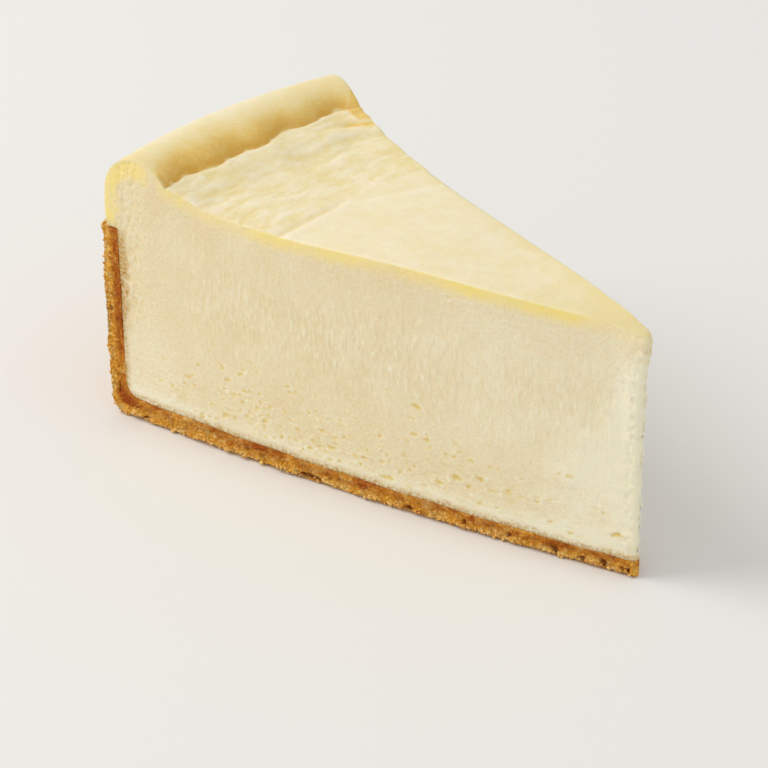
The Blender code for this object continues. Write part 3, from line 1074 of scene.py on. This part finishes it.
    def skin(self, inset: Array, share: Array, on_rim: Array) -> tuple[Array, Array, Array]:
        """The skin's fine relief, and how brown and how hollow it is.

        Args:
            inset: The skin's insets.
            share: Its shares.
            on_rim: 1 where it is part of the roll and 0 inside the crease.

        Returns:
            Relief in metres, the brown colour with its painted shade from 0 to 1, and hollowness, which holds
            painted shade and light too, from 0 to 1.
        """
        length = self.plan.arc_length(inset, share)
        half_length = self.plan.half_angle * (self.plan.radius - inset)
        off_near, off_far = (1 - share) * half_length, (1 + share) * half_length
        ripple = partial(noise_at, stack(inset, length, 0))

        # The crease, with a scalloped and slightly raised border
        scallop = 0.42 * MM * noise_at(stack(length, 0, 0), 2.6 * MM, 3.3)
        scallop += 0.18 * MM * noise_at(stack(length, 0, 0), 1.1 * MM, 8.3)
        shore = inset - self.crease_inset(share) - scallop
        facet = 1 - smooth(off_far / (5.0 * MM))
        relief = -0.4 * MM * swell(shore, -0.1 * MM, 0.6 * MM) * (1 - 0.9 * facet)
        relief += 0.22 * MM * swell(shore, 1.2 * MM, 0.9 * MM) * (0.6 + 0.8 * ripple(3.0 * MM, 5.0))

        # Wrinkles up to the last fold, and a nearly plain top past it
        inside = rise(shore, 0.5 * MM, 2.0 * MM)
        folded = inside * rise(self.last_fold_inset, inset, self.fold_edge)
        bent = stack(inset + 1.6 * MM * ripple(11 * MM, 2.0), length, 0)
        ridge = noise_at(bent, (2.1 * MM, 5.5 * MM, 1.0), 6.0)
        creases = noise_at(bent, (1.1 * MM, 3.4 * MM, 1.0), 9.0)
        crinkle = ripple((0.8 * MM, 1.3 * MM, 1.0), 15.0)
        relief += (0.11 * MM * ridge + 0.065 * MM * creases + 0.045 * MM * crinkle) * folded
        plain = inside * (1 - folded)
        relief += 0.05 * MM * ripple((4.0 * MM, 7.0 * MM, 1.0), 1.0) * (plain + 0.5 * folded)
        relief += 0.03 * MM * ripple(1.6 * MM, 4.0)
        # The wrinkles' hollows are painted yellower as shade, and their ridges paler as light
        hollow = 0.30 + 0.2 * folded - (0.55 * ridge + 0.35 * creases + 0.3 * crinkle) * folded

        # The gold on the rim's inner slope, partly browned skin and partly painted shade of the slope that
        # faces away from the light, deepest by the crease and a little weaker towards the far cut
        down = (inset - self.rim_inset) / (self.crease_inset(share) - self.rim_inset)
        towards_far = smooth(0.3 - share)
        slope = np.clip(down + 0.1 * ripple(4 * MM, 7.0), 0, 1) ** (1.05 + 0.35 * towards_far) * (shore < 0)
        slope *= 1 - 0.15 * towards_far
        # It starts further from the near cut the higher it lies, and ends in a slant by the far cut
        up_slope = np.maximum(-shore, 0)
        start = off_near - 0.4 * MM + 0.8 * MM * ripple(1.5 * MM, 8.0)
        start = start / (0.9 * MM + 0.9 * up_slope) + 0.8 * np.clip(1 - up_slope / (6 * MM), 0, 1)
        near_end = 0.25 + 0.75 * smooth(start)
        slant = off_far - 3.6 * MM * np.clip(1 - up_slope / (5 * MM), 0, 1)
        far_end = smooth((slant + 0.3 * MM * ripple(2 * MM)) / (1.2 * MM) + 1.0)

        # The crease fills up at the near cut, and runs out in a facet at the far one, whose tan is painted
        # shade of the rim's far end
        fill = (1 - smooth(off_near / (3 * MM))) * swell(shore, -1.0 * MM, 1.6 * MM)
        relief += 0.7 * MM * fill
        flat = 0.5 * swell(shore, -0.3 * MM, 1.3 * MM) - 0.3 * swell(shore, 1.6 * MM, 1.0 * MM)
        relief += facet * MM * flat
        facet_shade = smooth(down / 0.3) * smooth((5.5 * MM - shore) / (2 * MM))
        brown = np.maximum(slope * near_end * far_end, 0.75 * (1 - far_end) * facet_shade)
        # A thin line of painted crease shade runs along the foot of the rim, just inside the crease
        brown += np.where(shore >= 0, 0.7 * np.exp(-shore / (0.35 * MM)), 0) * near_end * far_end

        # Each groove is darkened with painted shade along its hollow, and painted paler as light on the ridge
        # beyond it
        for groove in (LAST_FOLD, FAINT_FOLD, SECOND_CREASE, CREASE_TAIL):
            way, strength = self.groove_line(groove, share)
            off, width = inset - way, groove.width
            relief -= groove.depth * MM * swell(off, 0, width * MM) * strength
            relief += 0.6 * groove.depth * MM * swell(off, 1.9 * width * MM, 1.2 * width * MM) * strength
            brown = np.maximum(brown, groove.brown * swell(off, 0, width * MM) * strength)
            hollow -= 0.3 * swell(off, 2 * width * MM, 1.2 * width * MM) * strength

        # The skin is yellower by the far cut and towards the point, and on the rim's outer side
        edge = (1 - np.abs(share)) * self.plan.half_angle * (self.plan.radius - inset)
        yellower = 0.5 * rise(inset, 96 * MM, 26 * MM) + 0.3 * swell(edge, 0, 3 * MM) * (share < 0)
        yellower += 0.12 * rise(inset, 60 * MM, 40 * MM)
        hollow += yellower
        rim_hollow = 0.38 + 0.35 * smooth((shore + 12 * MM) / (6 * MM)) + 0.3 * swell(off_near, 0, 3 * MM)
        hollow = np.where(on_rim > 0.5, rim_hollow, hollow)
        return relief, np.clip(brown, 0, 1), np.clip(hollow, 0, 1)

    def pits(self, seed: int) -> list[Pit]:
        """Small pits strewn over the lower part of a cut, closest together just above the base."""
        draw = Random(seed)
        made = []
        while len(made) < self.small_pits:
            inset, height = draw.uniform(14, 112), draw.uniform(5.6, 27)
            chance = 0.9 * swell(height, 11, 7) * (0.08 + 0.92 * swell(inset, 52, 30))
            width, tall, tilt = draw.uniform(0.4, 1.3), draw.uniform(0.28, 0.5), draw.gauss(0, 16)
            if draw.random() < chance:
                made.append(Pit(inset, height, width, tall, draw.uniform(0.1, 0.34), tilt))
        return made

    def cut_relief(self, section: Array, share: Array, depth: Array) -> tuple[Array, dict[str, Array]]:
        """The fine relief of the cuts, and how pitted, pale, yellow and dragged they are.

        Args:
            section: Insets and heights of the points.
            share: Their shares, whose sign tells the cut.
            depth: How deep they lie under the skin.

        Returns:
            Relief in metres, and the four finish values by name, from 0 to 1.
        """
        inset, height = section.T / MM
        side = np.sign(share) * 50
        ripple = partial(noise_at, stack(inset, height, side))
        grain, chip = ripple((0.9, 1.1, 1.0), 7.0), ripple((0.75, 0.8, 1.0), 14.0)

        # The knife's waves and drag marks, with thin raised strokes that catch the light and are painted pale
        # as highlights
        relief = 0.09 * ripple((11.0, 34.0, 1.0)) + 0.05 * ripple((4.0, 13.0, 1.0), 3.0)
        drag = ripple((0.75, 3.2, 1.0), 5.0)
        middle = swell(height, 33, 13) * rise(inset, 12, 14)
        relief += 0.15 * np.maximum(drag - 0.05, 0) * middle
        glint = smooth((ripple((0.65, 2.0, 1.0), 35.0) - 0.3) / 0.2) * middle * swell(inset, 60, 30)
        relief += 0.1 * glint
        relief += 0.05 * grain * (0.35 + 0.65 * rise(height, 34, 8))

        # Flakes above the base, and a rough strip beside the crust's wall
        low = rise(21, height, 9)
        flake = noise_at(stack(inset, height + 0.7 * grain, side), (2.4, 0.75, 1.0), 11.0)
        relief -= 0.14 * np.maximum(flake - 0.12, 0) * low
        relief += 0.05 * np.maximum(-flake, 0) * low
        rough = rise(12, inset, 4) * rise(height, 18, 8) * rise(inset, 3.5, 2.0)
        lump = ripple((1.3, 1.5, 1.0), 13.0)
        relief += rough * (0.2 * lump + 0.12 * chip - 0.1)
        # Golden in the rough strip's hollows and in the flakes' hollows is painted shade
        pit = 0.22 * rough * smooth((0.1 - lump - 0.6 * chip) / 0.5)
        pit += 0.3 * low * rise(flake, 0.35, 0.25)
        pale = rough * (0.9 * np.maximum(chip, 0) - 0.15) + 0.5 * smooth((9.5 - height) / 4)
        # Paler towards the point: painted light that offsets the shade the grazing key leaves on the bowed cut
        # there
        pale += 0.22 * rise(inset, 62, 34) * rise(height, 12, 10)
        # The glints are painted highlights
        pale += 0.25 * np.maximum(drag - 0.1, 0) * middle + 0.45 * glint + 0.2 * np.maximum(-flake, 0) * low
        pale += 0.3 * rise(30, inset, 25) * rise(34, height, 20)

        # The pale smear that the knife left by the point
        smear = 101 + (height - 16) * 0.7 - 4 * ripple(8.0, 2.0) - 1.5 * ripple(3.0, 4.0)
        pale += 0.15 * swell(inset, smear + 6.0, 5.0) * rise(44, height, 10) * rise(height, 8, 6)
        smeared = 0.6 * smooth((inset - smear + 8) / 26) * rise(48, height, 12)
        pale += smeared * (0.8 + 0.5 * ripple((5, 3, 1)))
        ridge = 0.12 * swell(inset, smear + 5.0, 3.0) * rise(40, height, 8)
        relief += ridge * rise(height, 12, 6)
        relief += 0.10 * rise(inset, 112, 8) * ripple((3.0, 1.8, 1.0), 17.0)
        self.tear_pits(inset, height, share, relief, pit, pale)

        # The yellow band under the skin, its blotches by the crease, and the patch on the rim's cut
        under = depth / MM
        ragged = under + 0.5 * ripple((1.6, 1.6, 1.0), 19.0) + 0.25 * grain
        strength = 0.45 + 0.35 * rise(inset, 25, 25) + 0.2 * rise(inset, 75, 15)
        strength *= 0.85 + 0.5 * ripple((7.0, 20.0, 1.0), 23.0)
        band = (1 - rise(ragged, 1.0, 3.0)) * strength * rise(inset, 12, 5)
        band *= 1 - 0.7 * rise(inset, 102, 20)
        blotch = smooth((ripple((1.5, 1.1, 1.0), 33.0) - 0.02) / 0.3)
        band = np.maximum(band, 0.75 * blotch * swell(inset, 19.5, 5.5) * (1 - rise(under, 1.2, 2.6)))
        reach = 2.2 + 1.6 * rise(height, 50, 6) + 1.6 * ripple(2.4, 27.0) + 0.8 * chip
        patch = 0.9 * (1 - smooth((ragged - reach + 0.8) / 3.0)) * (1 - rise(inset, 9, 5))
        patch *= rise(height, 41.5, 3)
        patch *= (1 - 0.75 * np.exp(-under / 0.55)) * (1.0 + 0.5 * ripple(1.6, 28.0))
        # On the far cut the yellow covers the whole rim's cut, as painted shade of the far end
        far_patch = 0.8 * (1 - rise(under, 3, 3)) * (inset < 26)
        patch = np.where(side > 0, patch, np.maximum(patch, far_patch))

        # The ragged upright edge at the point, painted pale as light on an edge that faces away from the lamp
        relief += 0.35 * swell(height, 38, 8) * rise(inset, 119, 2.5)
        dents = 0.25 * noise_at(stack(height, side, 0), (2.4, 60.0, 1.0), 29.0) + 0.42 * chip
        relief += dents * rise(inset, 119.5, 2) - 0.05
        pale += (0.65 + 0.7 * chip) * smooth((inset - 116 + 2.0 * chip) / 6) * rise(50, height, 6)
        values = {"pit": pit, "pale": pale, "yellowing": np.maximum(band, patch), "dragged": middle}
        return relief * MM, {name: np.clip(value, 0, 1) for name, value in values.items()}

    def tear_pits(
        self, inset: Array, height: Array, share: Array, relief: Array, pit: Array, pale: Array
    ) -> None:
        """Tears the pits into the cuts, by changing the relief and the values of their points.

        Args:
            inset: Insets of the points, in millimetres.
            height: Their heights, in millimetres.
            share: Their shares.
            relief: Their relief, in millimetres.
            pit: How deep in a pit they lie, from 0 to 1, which sets the pit's painted shade.
            pale: How pale they are.
        """
        ripple = partial(noise_at, stack(inset, height, np.sign(share) * 50))
        wobble = 0.9 + 0.6 * ripple(0.7, 21.0)
        # The pale ring round each pit is a painted highlight on its raised lip
        torn = 0.55 * smooth(0.45 + 1.5 * ripple(0.9, 22.0))
        for near, holes in ((True, (*SEEN_PITS, *self.pits(5))), (False, self.pits(8))):
            on_side = (share > 0) == near
            for hole in holes:
                right, up, most = inset - hole.inset, height - hole.height, 2 * hole.width
                close = on_side & (np.abs(right) < most) & (np.abs(up) < most)
                if not close.any():
                    continue
                right, up, turn = right[close], up[close], radians(hole.tilt)
                flat = (right * cos(turn) + up * sin(turn)) / (hole.width / 2)
                tall = (up * cos(turn) - right * sin(turn)) / (hole.tall / 2)
                reach = np.sqrt(flat**2 + tall**2) * wobble[close]
                lips = 0.25 * swell(reach, 1.55, 0.45)
                relief[close] += hole.depth * (lips - 0.5 * np.exp(-(reach**4) / 1.3))
                # A pit's golden colour is painted shade, stronger in deeper pits
                inner = np.exp(-(reach**3) / 1.6) * min(1.0, 0.42 + hole.depth * 1.7)
                pit[close] = np.maximum(pit[close], inner)
                pale[close] += torn[close] * swell(reach, 1.6, 0.5)

    def build(
        self, skin: bpy.types.Material, cut: bpy.types.Material, crumb: bpy.types.Material
    ) -> list[bpy.types.Object]:
        """The filling's piece, and the crumbs that the knife dragged on to its cut.

        Args:
            skin: The finish of the top and the outer side.
            cut: The finish of the cuts, the underside and the point's edge.
            crumb: The finish of the dragged crumbs.

        Returns:
            The pieces' objects.
        """
        steps, across_steps, rows = self.steps, self.across_steps, self.rows
        mesh = gridded_block((steps, across_steps, rows))
        refine(mesh, lambda co: co.y > across_steps - NEAR)
        fold_end = self.rim_steps + 46
        refine(mesh, lambda co: co.z > rows - NEAR and co.x <= fold_end)
        step, across, row = places_of(mesh).T
        sheared = []
        for face in mesh.faces:
            middle = face.calc_center_median()
            aside = min(middle.y, across_steps - middle.y)
            rounded = middle.y < NEAR and middle.z > rows - 3.5 and middle.x < self.rim_steps
            at_cut = min(aside, middle.z, steps - middle.x) < NEAR and not rounded
            face.material_index = int(at_cut or (middle.x < NEAR and middle.z < self.ledge_end))
            at_ledge = self.ledge_end - self.ledge_rows - 1 < middle.z < self.ledge_end + 1
            if at_ledge and middle.x < 24 and aside < NEAR:
                sheared.append(face)
        share = share_of(across, across_steps, self.across_closeness)
        section = self.section(step, row, share)
        inset, height = section.T
        put(mesh, self.plan.place(inset, height, share))
        bmesh.ops.reverse_faces(mesh, faces=mesh.faces)
        even_out(mesh, sheared)

        # The edges are rounded: lightly along the cuts, and well at the rim's far end
        aside = np.minimum(across, across_steps - across)
        far = across < NEAR
        on_cut = (aside < NEAR) | (step > steps - NEAR)
        on_top = (row > rows - NEAR) | ((step < NEAR) & (row > self.ledge_end))
        soften(mesh, (on_top & (aside < 1.6)) | (on_cut & (row > rows - 1.2)), 3)
        far_rim = ((across < 2.6) & on_top) | (far & (row > rows - 3))
        soften(mesh, far_rim & (step < self.rim_steps), 8)

        places, normals = places_of(mesh), normals_of(mesh)
        depth = self.skin_distance(section, share, on_cut)
        cut_move, cut_values = self.cut_relief(section, share, depth)
        on_rim = (step < self.rim_steps + NEAR) | (row < rows - NEAR)
        skin_move, brown, hollow = self.skin(inset, share, on_rim.astype(float))
        # The cuts' relief fades out under the skin and above the base, and where the far cut meets the ledge
        fade = smooth(depth / (0.8 * MM)) * rise(height, 4.0 * MM, 2 * MM)
        calm = swell(row, self.ledge_end - 1, 4) * (1 - rise(step, 40, 12)) * far
        move = np.where(on_cut, cut_move * (0.3 + 0.7 * fade) * (1 - calm), 0.0)
        move = np.where(on_top, np.where(on_cut, 0.5 * skin_move, skin_move), move)
        places = places + normals * move[:, None]
        put(mesh, within_solids(places + np.array(self.plan.centre())))

        # The crust stains the cuts next to it
        foot = height - self.crust.base_top(inset)
        flank = inset - self.crust.wall_inset(height) - self.crust.wall_thickness
        above = height - self.crust.wall_height
        flank = np.where(above < 0, flank, np.where(flank < 0, above + 0.6 * MM, 1.0))
        cut_side = np.sign(share)
        uneven = noise_at(stack(inset, height, cut_side), 2 * MM)
        stain = 0.85 * (1 - smooth((np.minimum(foot, flank) / MM + 0.4 * uneven) / 2.0))
        beside_wall = swell(height, 33 * MM, 10 * MM) * (1 - smooth((flank / MM - 1.0 + 1.5 * uneven) / 2.2))
        values = {
            "stain": np.maximum(stain, beside_wall) * on_cut,
            "browning": brown,
            "hollow": hollow,
            **cut_values,
            "cut_place": stack(inset, height, cut_side * 0.5),
        }
        piece = make_piece("baked_cheese_filling", mesh, [skin, cut], Slot.FILLING, values)
        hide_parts("cheese_filling")

        near = (across > across_steps - NEAR) & (height > 20 * MM) & (above < 0)
        weights = np.where(near & (flank > 0), np.exp(-flank / (1.1 * MM)), 0.0)
        places = places_of_piece(piece)
        return [piece, CrumbGrains().build(GrainKind.DRAGGED, places, normals, weights, crumb, 23)]


@dataclass(frozen=True)
class Studio:
    """The plain floor, the soft light and the camera."""

    plan: WedgePlan
    floor_radius: float = 6.0
    sky: str = "F5F4F2"
    sky_strength: float = 0.75
    # The camera, from the cake's centre: where it stands, where it looks and its lens
    camera_offset: tuple[float, float, float] = (452.98 * MM, -508.0 * MM, 425.14 * MM)
    heading: float = radians(46.025)
    pitch: float = radians(29.332)
    lens: float = 196.875
    sensor: float = 36.0
    # The main light: its compass direction from the slice, its height angle, distance, size and power
    key_heading: float = radians(-142.0)
    key_height: float = radians(42.0)
    key_distance: float = 1.5
    key_size: float = 1.1
    key_power: float = 11.5

    def direction(self, heading: float, height: float) -> Vector:
        """The direction of a compass heading, from +X towards +Y, and an angle above the ground."""
        return Vector((cos(heading) * cos(height), sin(heading) * cos(height), sin(height)))

    def build(self, floor_finish: bpy.types.Material) -> None:
        """Adds the floor, the light, the world and the camera to the scene."""
        scene = bpy.context.scene
        scene.view_settings.view_transform = "Standard"
        mesh = bmesh.new()
        bmesh.ops.create_circle(mesh, cap_ends=True, segments=96, radius=self.floor_radius)
        data = bpy.data.meshes.new("studio_floor")
        mesh.to_mesh(data)
        mesh.free()
        data.materials.append(floor_finish)
        shown("studio_floor", data)

        world = bpy.data.worlds.new("soft_sky")
        world.use_nodes = True
        backdrop = world.node_tree.nodes["Background"]
        backdrop.inputs["Color"].default_value = linear(self.sky)
        backdrop.inputs["Strength"].default_value = self.sky_strength
        scene.world = world

        lamp = bpy.data.lights.new("soft_key", "AREA")
        lamp.shape = "DISK"
        lamp.size = self.key_size
        lamp.energy = self.key_power
        lamp.color = linear("FFFAF3")[:3]
        key = shown("soft_key", lamp)
        towards = self.direction(self.key_heading, self.key_height)
        key.location = towards * self.key_distance
        key.rotation_euler = towards.to_track_quat("Z", "Y").to_euler()

        lens = bpy.data.cameras.new("camera")
        lens.lens = self.lens
        lens.sensor_width = self.sensor
        lens.clip_start, lens.clip_end = 0.05, 30.0
        camera = scene.camera = shown("camera", lens)
        camera.location = self.plan.centre() + Vector(self.camera_offset)
        look = self.direction(radians(90) + self.heading, -self.pitch)
        camera.rotation_euler = look.to_track_quat("-Z", "Y").to_euler()


def main() -> None:
    """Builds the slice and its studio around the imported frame."""
    logging.basicConfig(level=logging.INFO, format="%(message)s")
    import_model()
    plan = WedgePlan()
    crust = CrumbCrust(plan)
    filling = CheeseFilling(plan, crust)
    pressed = BiscuitCrumb()
    # Loose crumb is drier, and so paler
    paler = {"crevice": "A5672E", "caramel": "DF983E", "gold": "F5BF66"}
    loose = replace(pressed, name="loose_biscuit_crumb", **paler).make()
    pieces = crust.build(pressed.make(), loose)
    pieces += filling.build(BakedSkin().make(), CutFilling().make(), loose)
    for piece in pieces:
        LOG.info("%s has %d faces", piece.name, len(piece.data.polygons))
    Studio(plan).build(PlainFloor().make())


if __name__ == "__main__":
    main()
